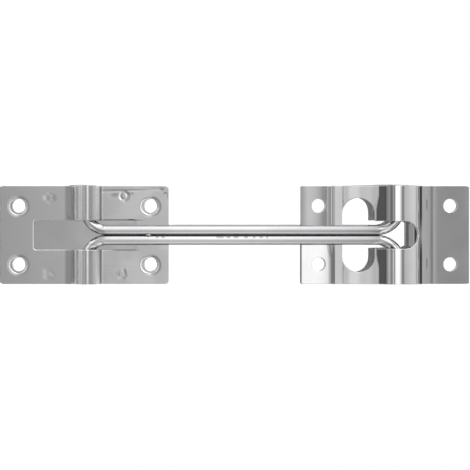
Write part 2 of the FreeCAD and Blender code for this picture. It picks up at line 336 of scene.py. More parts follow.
KEEPER_PAINTED_LIGHT = (
    PaintedLightPatch(0.4, (70.0, 2.4), (14.0, 24.0)),                  # painted shade where the rise meets the hump
    PaintedLightPatch(0.3, (69.0, 1.9)),
    # painted shadow in the crevice where the rolled edge meets the foot
    *(PaintedLightPatch(0.88, (84.15, 0.9), (y, 17.0), LOW) for y in (15.0, -15.0)),
    # painted shade on the rolled edge
    *(PaintedLightPatch(0.35, (82.2, 0.8), (y, 17.0), ON_HUMP) for y in (15.0, -15.0)),
    PaintedLightPatch(0.3, (44.6, 0.9)),                                # painted shade in the fold beside the flange
    PaintedLightPatch(0.45, (44.6, 1.0), (-14.0, 14.0)),
    PaintedLightPatch(0.25, (89.2, 0.5), z=LOW),                        # painted shade along press lines and short lines on the foot
    PaintedLightPatch(0.35, (86.9, 0.5), (13.8, 3.2), LOW),
    PaintedLightPatch(0.35, (86.9, 0.5), (-12.9, 3.4), LOW),
    PaintedLightPatch(0.75, (78.0, 0.9), z=LOW),                        # painted shade on the heel under the hump, and inside the roll
    PaintedLightPatch(0.85, (81.7, 0.9), z=LOW))
HOOK_FRONT = SteelFinish("pressed_hook_steel", (0.73, 0.73, 0.735), (0.67, 0.67, 0.675), 0.12, 0.16,
                         (0.06, 1.0, 1.0), painted_light=HOOK_PAINTED_LIGHT)
HOOK_BACK = SteelFinish("rolled_back_steel", (0.66, 0.66, 0.665), (0.60, 0.60, 0.605), 0.12, 0.15,
                        (0.06, 1.0, 1.0))
ROD = SteelFinish("drawn_rod_steel", (0.775, 0.775, 0.78), (0.77, 0.77, 0.78), 0.08, 0.13,
                  (0.03, 1.0, 1.0), grain_depth=0.006, edge_tint=0.15, painted_light=ROD_PAINTED_LIGHT)
WELD = SteelFinish("weld_steel", (0.52, 0.52, 0.52), (0.36, 0.35, 0.34), 0.25, 0.40,
                   (1.0, 1.0, 1.0), cloud_scale=500.0)
KEEPER = SteelFinish("bright_keeper_steel", (0.81, 0.81, 0.815), (0.77, 0.77, 0.78), 0.07, 0.09,
                     (1.0, 0.05, 1.0), grain_depth=0.004, edge_tint=0.15, painted_light=KEEPER_PAINTED_LIGHT)


# ---- Outlines and slopes ----

def arc_points(centre: Point2, radius: float, start: float, end: float, step: float = 7.5) -> Loop:
    """Points along an arc, both ends included.

    Args:
        centre: The arc's centre, in millimetres.
        radius: Its radius.
        start: Its first angle, in degrees.
        end: Its last angle.
        step: The most that one chord turns.

    Returns:
        The points, in order.
    """
    count = max(2, math.ceil(abs(end - start) / step) + 1)
    angles = [math.radians(start + (end - start) * index / (count - 1)) for index in range(count)]
    return [(centre[0] + radius * math.cos(angle), centre[1] + radius * math.sin(angle)) for angle in angles]


def circle(centre: Point2, radius: float) -> Loop:
    """A full circle as an open list of points, anticlockwise."""
    return arc_points(centre, radius, 0.0, 360.0)[:-1]


def rounded_rectangle(low: Point2, high: Point2, radius: float) -> Loop:
    """A rectangle with round corners, anticlockwise.

    Args:
        low: Its lowest corner.
        high: Its highest corner.
        radius: The corners' radius.

    Returns:
        The outline's points.
    """
    outline: Loop = []
    for x, y, start in ((high[0], high[1], 0.0), (low[0], high[1], 90.0),
                        (low[0], low[1], 180.0), (high[0], low[1], 270.0)):
        centre = (x + math.copysign(radius, (low[0] + high[0]) / 2 - x),
                  y + math.copysign(radius, (low[1] + high[1]) / 2 - y))
        outline += arc_points(centre, radius, start, start + 90.0, 18.0)
    return outline


def held(value: float) -> float:
    """A number held between 0 and 1."""
    return min(1.0, max(0.0, value))


def dip(share: float) -> float:
    """A smooth hump, 1 at no distance and 0 from a distance of 1 on."""
    return (1 - share * share) ** 2 if abs(share) < 1.0 else 0.0


def distance_to_line(point: Point2, line: Loop) -> float:
    """Distance from a point to the nearest leg of an open line.

    Args:
        point: The point.
        line: The line's corners.

    Returns:
        The distance.
    """
    nearest = math.inf
    for start, end in zip(line, line[1:]):
        leg, reach = Vector(end) - Vector(start), Vector(point) - Vector(start)
        nearest = min(nearest, (reach - leg * held(reach.dot(leg) / leg.length_squared)).length)
    return nearest


def risen(slopes: Loop, distance: float) -> float:
    """Height reached where the slope changes evenly from one listed distance to the next.

    Args:
        slopes: Distance and slope of each mark.
        distance: How far along the height is asked for.

    Returns:
        The height.
    """
    height = 0.0
    for (start, first), (end, second) in zip(slopes, slopes[1:]):
        along = min(max(distance - start, 0.0), end - start)
        height += along * (first + (second - first) * along / (end - start) / 2)
    return height


# ---- Folded sheets ----

class Section:
    """The line that a folded sheet follows: straight runs and tangent bends, in the XZ plane."""

    def __init__(self, corners: list[Point3]) -> None:
        """Lays the runs and bends out.

        Args:
            corners: X, Z and bend radius of each corner in millimetres, the first and last with no bend.
        """
        self.pieces: list[tuple[float, float, Vector, Vector, float]] = []
        self.length = 0.0
        here = Vector(corners[0][:2])
        for before, corner, after in zip(corners, corners[1:], corners[2:]):
            apex = Vector(corner[:2])
            back = (Vector(before[:2]) - apex).normalized()
            ahead = (Vector(after[:2]) - apex).normalized()
            half_angle = back.angle(ahead) / 2
            trim = corner[2] / math.tan(half_angle)
            turn = math.copysign(math.pi - 2 * half_angle, (back * -1).cross(ahead))
            self._run(here, apex + back * trim)
            self._add(corner[2] * abs(turn), apex + back * trim, back * -1, turn)
            here = apex + ahead * trim
        self._run(here, Vector(corners[-1][:2]))

    def _run(self, start: Vector, end: Vector) -> None:
        """Appends a straight run, unless the bends meet."""
        if (end - start).length > 1e-4:
            self._add((end - start).length, start, (end - start).normalized(), 0.0)

    def _add(self, length: float, start: Vector, direction: Vector, turn: float) -> None:
        """Appends a run, or a bend where turn isn't zero."""
        self.pieces.append((self.length, length, start, direction, turn))
        self.length += length

    def at(self, distance: float) -> tuple[Vector, Vector]:
        """Position and direction at a distance along the line.

        Args:
            distance: The distance from the line's start, in millimetres.

        Returns:
            The point and the unit direction there.
        """
        for first, length, start, direction, turn in self.pieces:
            if distance <= first + length or first + length >= self.length:
                break
        along = distance - first
        if turn == 0.0:
            return start + direction * along, direction.copy()
        angle, radius = turn * along / length, length / turn
        side = Vector((-direction.y, direction.x))
        point = start + direction * (radius * math.sin(angle)) + side * (radius * (1 - math.cos(angle)))
        return point, direction * math.cos(angle) + side * math.sin(angle)

    def distance_at(self, x: float, up_to: float) -> float:
        """Distance along the line at which it first reaches an X.

        Args:
            x: The X to reach, in millimetres.
            up_to: The farthest distance to look at, short of where the line comes back.

        Returns:
            The distance, in millimetres.
        """
        low, high = 0.0, up_to
        for _ in range(40):
            middle = (low + high) / 2
            low, high = (middle, high) if self.at(middle)[0].x < x else (low, middle)
        return (low + high) / 2

    def stations(self, pitch: float, bend_step: float) -> list[float]:
        """Distances at which the sheet is sliced: evenly on runs and finely on bends.

        Args:
            pitch: The distance between slices on a run, in millimetres.
            bend_step: The turn between slices on a bend, in degrees.

        Returns:
            The distances, in order.
        """
        marks: list[float] = []
        for first, length, _, _, turn in self.pieces:
            count = max(1, math.ceil(length / pitch), math.ceil(math.degrees(abs(turn)) / bend_step))
            marks += [first + length * index / count for index in range(count)]
        return marks + [self.length]


def linked(made: Object) -> Object:
    """Puts an object in the scene and returns it."""
    bpy.context.scene.collection.objects.link(made)
    return made


def smoothed(mesh: bpy.types.Mesh) -> None:
    """Shades every face of a mesh smooth."""
    mesh.polygons.foreach_set("use_smooth", [True] * len(mesh.polygons))


@dataclass
class FoldedSheet:
    """A sheet cut flat, with rounded rims, and folded along a section.

    A point of the flat blank is a distance s along the section and a y across it. The width and depth of
    each roll round the edges off: the outline's, the holes' and, on the hidden face, all of them.
    """

    name: str
    section: Section
    thickness: float
    outline: Loop
    holes: list[Loop]
    rim_roll: Point2 = (0.28, 0.28)
    hole_roll: Point2 = (0.5, 0.14)
    inner_roll: Point2 = (0.1, 0.1)
    run_pitch: float = 4.0
    bend_step: float = 5.0
    rows: list[float] = field(default_factory=list)
    extra_stations: list[float] = field(default_factory=list)
    relief: Relief | None = None
    wander: Relief | None = None
    slope_step: float = 0.05
    rings: tuple[float, ...] = (0.8, 1.2, 1.7)
    ring_room: float = 0.3
    edge_room: float = 0.6
    grid_room: float = 0.35
    cut_room: float = 0.04
    # The rim mask makes rims paler and rougher, as wear and as a painted highlight; the outline's rims take a
    # smaller share.
    outer_rim_share: float = 0.3
    rim_gain: float = 1.5
    steps: int = 5
    places: list[Vector] = field(default_factory=list)
    normals: list[Vector] = field(default_factory=list)
    rim_wear_and_highlight_mask: list[float] = field(default_factory=list)

    def build(self) -> Object:
        """Makes the mesh.

        Returns:
            The sheet's object, with its place in its mesh.
        """
        stations = sorted(self.section.stations(self.run_pitch, self.bend_step) + self.extra_stations)
        loops = [self._sliced(loop, stations) for loop in [self.outline, *self.holes]]
        outward = self._outward(loops)
        flat, triangles = self._cap(loops, outward, stations)
        faces: list[tuple[int, ...]] = []
        for face in Face:
            offset = len(self.places)
            for index, (s, y) in enumerate(flat):
                inset = self._roll(index < len(loops[0]), face)[0]
                push = outward.get(index, Vector((0.0, 0.0))) * inset
                self._emit((s - push.x, y - push.y), face.value * self.thickness / 2,
                           Vector((0.0, 0.0, face.value)), 0.0)
            faces += [tuple(offset + corner for corner in corners[::face.value]) for corners in triangles]

        first = 0
        for loop in loops:
            edge = range(first, first + len(loop))
            rings = [list(edge)]
            levels = [(Face.OUTER, step) for step in range(1, self.steps + 1)]
            levels += [(Face.INNER, step) for step in range(self.steps, 0, -1)]
            rings += [self._edge_ring(flat, edge, outward, face, step) for face, step in levels]
            rings.append([len(flat) + index for index in edge])
            for upper, lower in zip(rings, rings[1:]):
                for index in range(len(loop)):
                    after = (index + 1) % len(loop)
                    quad = (upper[index], lower[index], lower[after], upper[after])
                    faces.append(quad if first == 0 else quad[::-1])
            first += len(loop)

        mesh = bpy.data.meshes.new(self.name)
        mesh.from_pydata([place * MM for place in self.places], [], faces)
        smoothed(mesh)
        mesh.normals_split_custom_set_from_vertices([tuple(normal) for normal in self.normals])
        mesh.attributes.new(RIM, "FLOAT", "POINT").data.foreach_set("value", self.rim_wear_and_highlight_mask)
        return linked(bpy.data.objects.new(self.name, mesh))

    def _edge_ring(self, flat: Loop, edge: range, outward: dict[int, Vector], face: Face,
                   step: int) -> list[int]:
        """Lays one ring of points round a rolled edge.

        Args:
            flat: The blank's points.
            edge: The indices of the loop's own points.
            outward: The direction away from the sheet at each of them.
            face: The face that the ring rounds off.
            step: How far the ring is round the roll.

        Returns:
            The new points' indices.
        """
        width, depth = self._roll(edge.start == 0, face)
        angle = math.radians(90.0 * step / self.steps)
        inset = width * (1 - math.sin(angle))
        height = face.value * (self.thickness / 2 - depth * (1 - math.cos(angle)))
        tilt = math.atan2(depth * math.sin(angle), width * math.cos(angle))
        # share of the rim mask for the rims' wear and painted highlight
        rim_share = min(1.0, self.rim_gain * step / self.steps) * (self.outer_rim_share if edge.start == 0 else 1.0)
        ring = []
        for index in edge:
            side, (s, y) = outward[index], flat[index]
            normal = Vector((side.x * math.sin(tilt), side.y * math.sin(tilt), face.value * math.cos(tilt)))
            ring.append(self._emit((s - side.x * inset, y - side.y * inset), height, normal, rim_share))
        return ring

    def _roll(self, on_outline: bool, face: Face) -> Point2:
        """Width and depth of a rolled edge."""
        return self.inner_roll if face is Face.INNER else self.rim_roll if on_outline else self.hole_roll

    def _sliced(self, loop: Loop, stations: list[float]) -> Loop:
        """Adds a point wherever a loop's edge crosses a slice, and along its straight ends.

        Args:
            loop: The loop to add to.
            stations: The slices' distances along the section.

        Returns:
            The denser loop.
        """
        dense: Loop = []
        for (s0, y0), (s1, y1) in zip(loop, loop[1:] + loop[:1]):
            start, end, marks = (y0, y1, self.rows) if abs(s1 - s0) < 1e-6 else (s0, s1, stations)
            cuts = sorted((mark - start) / (end - start) for mark in marks
                          if min(start, end) + self.cut_room < mark < max(start, end) - self.cut_room)
            dense.append((s0, y0))
            dense += [(s0 + (s1 - s0) * cut, y0 + (y1 - y0) * cut) for cut in cuts]
        return dense

    def _cap(self, loops: list[Loop], outward: dict[int, Vector],
             stations: list[float]) -> tuple[Loop, list[tuple[int, ...]]]:
        """Fills the flat blank with triangles, its loops' points first.

        Args:
            loops: The outline and then the holes.
            outward: The direction away from the sheet at each of their points.
            stations: The slices' distances along the section.

        Returns:
            The points and the triangles between them.
        """
        points: Loop = [point for loop in loops for point in loop]
        edges: list[tuple[int, int]] = []
        first = 0
        for loop in loops:
            edges += [(first + index, first + (index + 1) % len(loop)) for index in range(len(loop))]
            first += len(loop)
        around: Loop = []
        for index in range(len(loops[0]), first):
            for ring in self.rings:
                place = (points[index][0] - outward[index].x * ring, points[index][1] - outward[index].y * ring)
                if self._is_sheet(loops, place) and self._clear(around + points[:first], place, self.ring_room):
                    around.append(place)
        points += [(s, y) for s in stations for y in self.rows
                   if self._is_sheet(loops, (s, y)) and self._clear(points[:first], (s, y), self.edge_room)
                   and self._clear(around, (s, y), self.grid_room)]
        points += around
        out, _, triangles, _, _, _ = delaunay_2d_cdt([Vector(point) for point in points], edges, [], 0, 1e-6)
        if len(out) != len(points):
            raise ValueError(f"{self.name}: the blank's points run together")
        kept = []
        for triangle in triangles:
            a, b, c = (out[corner] for corner in triangle)
            if self._is_sheet(loops, tuple((a + b + c) / 3)):
                kept.append(tuple(triangle) if (b - a).cross(c - a) > 0 else tuple(reversed(triangle)))
        return [(point.x, point.y) for point in out], kept

    @staticmethod
    def _clear(others: Loop, point: Point2, room: float) -> bool:
        """Whether a point has some room between itself and the others."""
        return all(abs(s - point[0]) > room or abs(y - point[1]) > room for s, y in others)

    @staticmethod
    def _inside(loop: Loop, point: Point2) -> bool:
        """Whether a point lies within a loop, which a line from it then crosses an odd number of times."""
        return sum((y0 > point[1]) != (y1 > point[1]) and point[0] < s0 + (point[1] - y0) / (y1 - y0) * (s1 - s0)
                   for (s0, y0), (s1, y1) in zip(loop, loop[1:] + loop[:1])) % 2 == 1

    def _is_sheet(self, loops: list[Loop], point: Point2) -> bool:
        """Whether a point lies within the outline and outside every hole."""
        return self._inside(loops[0], point) and not any(self._inside(loop, point) for loop in loops[1:])

    @staticmethod
    def _outward(loops: list[Loop]) -> dict[int, Vector]:
        """Unit direction away from the sheet at each point of its loops.

        Args:
            loops: The outline and then the holes, all anticlockwise.

        Returns:
            The direction for each point's index.
        """
        found: dict[int, Vector] = {}
        for loop in loops:
            sign = 1.0 if loop is loops[0] else -1.0
            for before, here, after in zip(loop[-1:] + loop, loop, loop[1:] + loop[:1]):
                one = (Vector(here) - Vector(before)).normalized()
                along = (one + (Vector(after) - Vector(here)).normalized()).normalized()
                found[len(found)] = Vector((along.y, -along.x)) * sign
        return found

    def _emit(self, flat: Point2, height: float, normal: Vector, rim_share: float) -> int:
        """Folds a point of the blank and appends it.

        Args:
            flat: The point's place on the blank.
            height: Its distance from the blank's middle plane.
            normal: Its normal on the blank.
            rim_share: Its share of the rim mask, from 0 to 1, which makes rims paler as wear and as a painted
                highlight.

        Returns:
            The point's index.
        """
        s, y = flat
        shift = self.wander(s, y) if self.wander else 0.0
        point, direction = self.section.at(s + shift)
        up = Vector((-direction.y, direction.x))
        if self.relief:
            share, step = (height + self.thickness / 2) / self.thickness, self.slope_step
            height += self.relief(s, y) * share
            slope_s = (self.relief(s + step, y) - self.relief(s - step, y)) / (2 * step)
            slope_y = (self.relief(s, y + step) - self.relief(s, y - step)) / (2 * step)
            normal = (normal - Vector((slope_s, slope_y, 0.0)) * (normal.z * share)).normalized()
        self.places.append(Vector((point.x - direction.x * shift + up.x * height, y, point.y + up.y * height)))
        self.normals.append(Vector((normal.x * direction.x + normal.z * up.x, normal.y,
                                    normal.x * direction.y + normal.z * up.y)))
        self.rim_wear_and_highlight_mask.append(rim_share)
        return len(self.places) - 1


def dress(piece: Object, finish: bpy.types.Material, body: str, node: str) -> None:
    """Gives a piece its finish and its body, and hides the CAD node that it stands for.

    Args:
        piece: The finished piece.
        finish: Its material.
        body: The CAD body that it moves with.
        node: The CAD node that it stands for.
    """
    piece.data.materials.clear()
    piece.data.materials.append(finish)
    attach(piece, body)
    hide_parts(node)
    log.info("%s: %d faces, on %s, for %s", piece.name, len(piece.data.polygons), body, node)


# ---- Plates ----

@dataclass
class Layout:
    """Sizes that more than one sub-assembly shares, in millimetres, as the CAD model has them."""

    plate_length: float = 76.2
    plate_width: float = 44.45
    sheet: float = 1.1
    rod_diameter: float = 4.4
    rod_gap: float = 0.06
    arm_span: float = 141.9
    barrel_shift: float = 1.0
    head_offset: float = 0.5
    keeper_head_shift: float = 6.2
    hole_outer_inset: float = 8.6
    hole_inner_inset: float = 7.9
    hole_side_inset: float = 8.975
    seat_clearance: float = 0.3
    swing_clearance: float = 0.3
    hook_bend_radius: float = 9.4
    keeper_bend_radius: float = 9.6

    @property
    def overall(self) -> float:
        """Length of the whole catch."""
        return self.plate_length + self.barrel_shift - self.head_offset - self.keeper_head_shift + self.arm_span

    @property
    def hook_middle(self) -> float:
        """X of the hook plate's middle."""
        return -self.overall / 2 + self.plate_length / 2

    @property
    def keeper_middle(self) -> float:
        """X of the keeper's middle."""
        return self.overall / 2 - self.plate_length / 2

    @property
    def barrel_middle(self) -> float:
        """X of the barrel's middle."""
        return self.hook_middle + self.barrel_shift

    @property
    def hook_head_x(self) -> float:
        """X of the axis of the head in the barrel."""
        return self.barrel_middle - self.head_offset

    @property
    def keeper_head_x(self) -> float:
        """X of the axis of the head in the keeper."""
        return self.keeper_middle + self.keeper_head_shift

    @property
    def rod_offset(self) -> float:
        """Distance of a rod's axis from the seam."""
        return (self.rod_diameter + self.rod_gap) / 2

    @property
    def head_z(self) -> float:
        """Height of the arm's axis."""
        return 2 * self.sheet + self.seat_clearance + self.rod_diameter / 2

    def slot_half(self, side_gap: float) -> float:
        """Half the width of a slot that leaves a gap beside the rods."""
        return self.rod_offset + self.rod_diameter / 2 + side_gap

    def stand_out(self, bend_radius: float, half_gap: float, clearance: float) -> float:
        """How far the arm's bends and a clearance reach from the head's axis between a slot's sides."""
        across = bend_radius + self.rod_offset - half_gap
        return bend_radius - math.sqrt((bend_radius - self.rod_diameter / 2 - clearance) ** 2 - across ** 2)

    def holes(self, middle_x: float) -> list[Point2]:
        """Places a plate's four screw holes.

        Args:
            middle_x: X of the plate's middle.

        Returns:
            The holes' middles in plan.
        """
        away = math.copysign(1.0, middle_x)
        outer_x = middle_x + away * (self.plate_length / 2 - self.hole_outer_inset)
        inner_x = middle_x - away * (self.plate_length / 2 - self.hole_inner_inset)
        half_y = self.plate_width / 2 - self.hole_side_inset
        return [(x, side * half_y) for x in (outer_x, inner_x) for side in (-1, 1)]

    def rows(self, pitch: float, extra: tuple[float, ...] = ()) -> list[float]:
        """Divides a plate across its width.

        Args:
            pitch: The distance between the lines.
            extra: Further lines, which are left out where they come near an even one.

        Returns:
            The lines' Y, in order.
        """
        count = round(self.plate_width / pitch)
        even = [self.plate_width * (index / count - 0.5) for index in range(1, count)]
        return sorted(even + [y for y in extra if all(abs(y - other) > 0.2 for other in even)])

    def blank(self, length: float, corner_radius: float) -> Loop:
        """Outline of a plate's flat blank, with its own length."""
        return rounded_rectangle((0.0, -self.plate_width / 2), (length, self.plate_width / 2), corner_radius)


@dataclass
class HookPlate:
    """The plate beside the door: a pressed front sheet with a barrel, and a flat sheet behind it.

    The flat sheet's middle rises by a hair, which also puts a slice there.
    """

    layout: Layout
    corner_radius: float = 1.5
    window_length: float = 46.0
    window_side_gap: float = 2.2
    window_corner: float = 1.0
    root_radius: float = 1.6
    side_room: float = 0.3
    head_room: float = 0.3
    front_hole_radius: float = 3.6
    front_hole_shift: Point2 = (-0.45, -0.35)
    screw_hole_radius: float = 3.0
    back_rise: float = 0.001
    back_rise_radius: float = 900.0
    spot_radius: float = 2.65
    spots: tuple[Point3, ...] = ((-50.2, 17.7, 0.14), (-51.5, -17.5, 0.05), (-83.8, 16.8, 0.02),
                                 (-84.3, -17.7, 0.02))
    lead_in_width: float = 1.6
    lead_in_depth: float = 0.2
    ripples: tuple[Point3, ...] = ((0.03, 3.1, 0.4), (0.009, 5.3, 2.0))
    rippled_share: float = 1.4
    dent_line: tuple[Point2, ...] = ((-60.0, 19.6), (-38.5, 20.7), (-33.5, 20.7), (-30.7, 17.6))
    dent_width: float = 0.8
    dent_depth: float = 0.07

    def build(self) -> None:
        """Builds and dresses both sheets."""
        dress(self.front(), HOOK_FRONT.material(), "hook", "hook_front_plate")
        dress(self.back(), HOOK_BACK.material(), "hook", "hook_back_plate")

    def front(self) -> Object:
        """Makes the pressed sheet.

        Returns:
            The sheet's object.
        """
        lay = self.layout
        half = lay.sheet / 2
        window_half = lay.slot_half(self.window_side_gap)
        swing = lay.stand_out(lay.hook_bend_radius, window_half, 0.0)
        leg = lay.head_offset + swing + lay.swing_clearance + self.side_room + half
        sheet_z = lay.sheet + half
        reach = lay.stand_out(lay.hook_bend_radius, window_half, lay.swing_clearance)
        crown_z = lay.head_z + reach + self.head_room + half
        left = lay.hook_middle - lay.plate_length / 2
        section = Section([(left, sheet_z, 0.0),
                           (lay.barrel_middle - leg, sheet_z, self.root_radius),
                           (lay.barrel_middle - leg, crown_z, leg),
                           (lay.barrel_middle + leg, crown_z, leg),
                           (lay.barrel_middle + leg, sheet_z, self.root_radius),
                           (left + lay.plate_length, sheet_z, 0.0)])

        def unrolled(x: float) -> float:
            """Distance along the blank of a plan X beside the barrel."""
            return x - left + (0.0 if x < lay.barrel_middle else section.length - lay.plate_length)

        window = rounded_rectangle((unrolled(lay.hook_middle - self.window_length / 2), -window_half),
                                   (unrolled(lay.hook_middle + self.window_length / 2), window_half),
                                   self.window_corner)
        hole_places = [(unrolled(x) + self.front_hole_shift[0], y + self.front_hole_shift[1])
                       for x, y in lay.holes(lay.hook_middle)]
        spots = [(unrolled(x), y, depth) for x, y, depth in self.spots]
        top = unrolled(lay.barrel_middle + leg) - self.root_radius - leg * math.pi / 2
        dent = [(unrolled(x), y) for x, y in self.dent_line]

        def relief(s: float, y: float) -> float:
            """Height of the sheet's face above its plain form."""
            height = sum(self.spot(math.hypot(s - spot_s, y - spot_y), depth) for spot_s, spot_y, depth in spots)
            for hole_s, hole_y in hole_places:
                away = (math.hypot(s - hole_s, y - hole_y) - self.front_hole_radius) / self.lead_in_width
                height -= self.lead_in_depth * (1 - held(away)) ** 2
            if abs(s - top) < leg * self.rippled_share:
                height += sum(tall * math.sin((s - top) * rate + start) for tall, rate, start in self.ripples)
            return height - self.dent_depth * dip(distance_to_line((s, y), dent) / self.dent_width)

        near = [step * 0.4 for step in range(-8, 9)]
        extra_rows = [spots[0][1] + step for step in near] + [self.dent_line[0][1] + step * 0.5 for step in near]
        return FoldedSheet("pressed_hook_sheet", section, lay.sheet, lay.blank(section.length, self.corner_radius),
                           [window] + [circle(place, self.front_hole_radius) for place in hole_places],
                           run_pitch=1.5, bend_step=2.5, rows=lay.rows(1.5, tuple(extra_rows)),
                           extra_stations=[spots[0][0] + step for step in near], relief=relief).build()

    def back(self) -> Object:
        """Makes the flat sheet.

        Returns:
            The sheet's object.
        """
        lay = self.layout
        left, middle_z = lay.hook_middle - lay.plate_length / 2, lay.sheet / 2
        section = Section([(left, middle_z, 0.0),
                           (lay.hook_middle, middle_z + self.back_rise, self.back_rise_radius),
                           (left + lay.plate_length, middle_z, 0.0)])
        holes = [circle((x - left, y), self.screw_hole_radius) for x, y in lay.holes(lay.hook_middle)]
        return FoldedSheet("flat_back_sheet", section, lay.sheet, lay.blank(section.length, self.corner_radius),
                           holes, rim_roll=(0.15, 0.15), rows=lay.rows(4.0)).build()

    def spot(self, away: float, depth: float) -> float:
        """Height left by a welding electrode at a distance from its middle: a ring round a low dome."""
        ring = dip((away - 0.62 * self.spot_radius) / (0.38 * self.spot_radius))
        return -depth * (ring + 0.35 * dip(away / self.spot_radius))


@dataclass
class Keeper:
    """The plate on the door, folded from one strip: flange, ramp, hump, rolled edge, foot and flange."""

    layout: Layout
    corner_radius: float = 0.8
    flange: float = 12.1
    joggle_run: float = 1.9
    joggle_radius: float = 1.4
    ramp_run: float = 16.4
    ramp_sag: float = 0.85
    ramp_sag_radius: float = 70.0
    ramp_toe_radius: float = 3.0
    rise_run: float = 3.7
    rise_slope: float = 44.0
    rise_radius: float = 4.0
    crown_offset: float = 5.3
    crown_radius: float = 5.7
    brow_run: float = 6.86
    brow_radius: float = 17.0
    roll_slope: float = 30.0
    roll_reach: float = 9.3
    roll_radius: float = 5.0
    heel_radius: float = 2.3
    neck_gap: float = 0.3
    head_clearance: float = 0.75
    hump_room: float = 0.9
    upper_flange_slopes: tuple[Point2, ...] = ((0.0, -0.02), (3.5, 0.0), (6.0, -0.004), (9.0, -0.012),
                                               (12.0, -0.033), (13.3, -0.031), (13.9, 0.0))
    lower_flange_slopes: tuple[Point2, ...] = ((0.0, -0.07), (9.0, -0.065), (12.5, -0.05), (13.6, 0.0))
    shoulder_slopes: tuple[Point2, ...] = ((14.9, 0.0), (15.6, 0.016), (18.0, 0.014), (19.5, 0.0))
    foot_slopes: tuple[Point2, ...] = ((84.2, 0.013), (88.0, 0.012), (88.7, 0.0), (89.3, 0.0), (90.0, 0.018),
                                       (91.2, 0.01), (93.0, 0.0))
    twist_from: float = 1.0
    twist_width: float = 5.0
    twist_end: float = 2.0
    fold_wander: float = 0.9
    fold_wander_from: float = 4.0
    fold_wander_past: float = 1.5
    fold_wander_reach: float = 6.0
    rise_wander: float = 1.3
    rise_wander_half: float = 16.0
    rise_wander_y: float = 1.5
    rise_wander_before: float = 1.0
    rise_wander_reach: float = 4.0
    wander_fade: float = 6.0
    oval_length: float = 33.6
    oval_width: float = 14.4
    oval_distance: float = 18.5
    slot_side_gap: float = 1.8
    slot_end_land: float = 1.2
    screw_hole_radius: float = 3.0
    facing_share: float = 0.7
    short_of_side: float = 0.05

    def corners(self) -> list[Point3]:
        """Works out the strip's middle line, from its left edge over the hump and back along its foot.

        Returns:
            X, Z and bend radius of each corner.
        """
        lay = self.layout
        half = lay.sheet / 2
        left = lay.keeper_middle - lay.plate_length / 2
        shoulder_z = 2 * lay.sheet - half
        crown_x = lay.keeper_head_x - self.crown_offset
        reach = lay.stand_out(lay.keeper_bend_radius, lay.slot_half(self.slot_side_gap), lay.swing_clearance)
        crown_z = lay.head_z + reach + self.hump_room + half
        rise_x = crown_x - self.rise_run
        rise_z = crown_z - self.rise_run * math.tan(math.radians(self.rise_slope))
        sag_z = (shoulder_z + rise_z) / 2 - self.ramp_sag
        brow_x = crown_x + self.brow_run
        side_x = lay.keeper_head_x + self.roll_reach - half
        side_z = crown_z - (side_x - brow_x) * math.tan(math.radians(self.roll_slope))
        neck_x = lay.keeper_head_x + lay.rod_diameter / 2 + self.head_clearance + half
        neck_bend = (self.neck_gap + lay.sheet) / 2
        heel_z = half + 2 * neck_bend
        return [(left, half, 0.0),
                (left + self.flange, half, self.joggle_radius),
                (left + self.flange + self.joggle_run, shoulder_z, self.joggle_radius),
                (rise_x - self.ramp_run, shoulder_z, self.ramp_toe_radius),
                (rise_x - self.ramp_run / 2, sag_z, self.ramp_sag_radius),
                (rise_x, rise_z, self.rise_radius),
                (crown_x, crown_z, self.crown_radius),
                (brow_x, crown_z, self.brow_radius),
                (side_x, side_z, self.roll_radius),
                (side_x, heel_z, self.heel_radius),
                (neck_x, heel_z, neck_bend),
                (neck_x, half, neck_bend),
                (left + lay.plate_length, half, 0.0)]

    def build(self) -> None:
        """Builds and dresses the strip."""
        dress(self.strip(), KEEPER.material(), "keeper", "keeper_plate")

    def strip(self) -> Object:
        """Makes the folded strip.

        Returns:
            The strip's object.
        """
        lay = self.layout
        section = Section(self.corners())
        left = lay.keeper_middle - lay.plate_length / 2
        taken_up = section.length - lay.plate_length
        side_x = lay.keeper_head_x + self.roll_reach - lay.sheet / 2
        to_side = section.distance_at(side_x - self.short_of_side, section.length * self.facing_share)
        rise = section.distance_at(lay.keeper_head_x - self.crown_offset - self.rise_run
                                   - self.rise_wander_before, to_side)
        foot = [(x - left + taken_up, slope) for x, slope in self.foot_slopes]

        def relief(s: float, y: float) -> float:
            """Height of the strip's face above its plain form."""
            lower = held((self.twist_from - y) / self.twist_width)
            low, high = (risen(slopes, s) - risen(slopes, self.flange + self.twist_end)
                         for slopes in (self.lower_flange_slopes, self.upper_flange_slopes))
            return lower * low + (1 - lower) * high + risen(self.shoulder_slopes, s) + risen(foot, s)

        def wander(s: float, y: float) -> float:
            """Distance by which the folds come early along the strip."""
            low_side = held((-self.fold_wander_from - y) / self.wander_fade)
            near_slot = held((self.rise_wander_half - abs(y - self.rise_wander_y)) / self.wander_fade)
            at_fold = dip((s - self.flange - self.fold_wander_past) / self.fold_wander_reach)
            return (self.rise_wander * near_slot * dip((s - rise) / self.rise_wander_reach)
                    - self.fold_wander * low_side * at_fold)

        keyhole = [(section.distance_at(x, to_side), y) for x, y in self.keyhole()]
        holes = [circle((x - left + (taken_up if x > lay.keeper_middle else 0.0), y), self.screw_hole_radius)
                 for x, y in lay.holes(lay.keeper_middle)]
        return FoldedSheet("folded_keeper_strip", section, lay.sheet, lay.blank(section.length, self.corner_radius),
                           [keyhole] + holes, hole_roll=(0.3, 0.12), rings=(0.7, 1.1), bend_step=4.0,
                           run_pitch=0.8, rows=lay.rows(1.5), relief=relief, wander=wander).build()

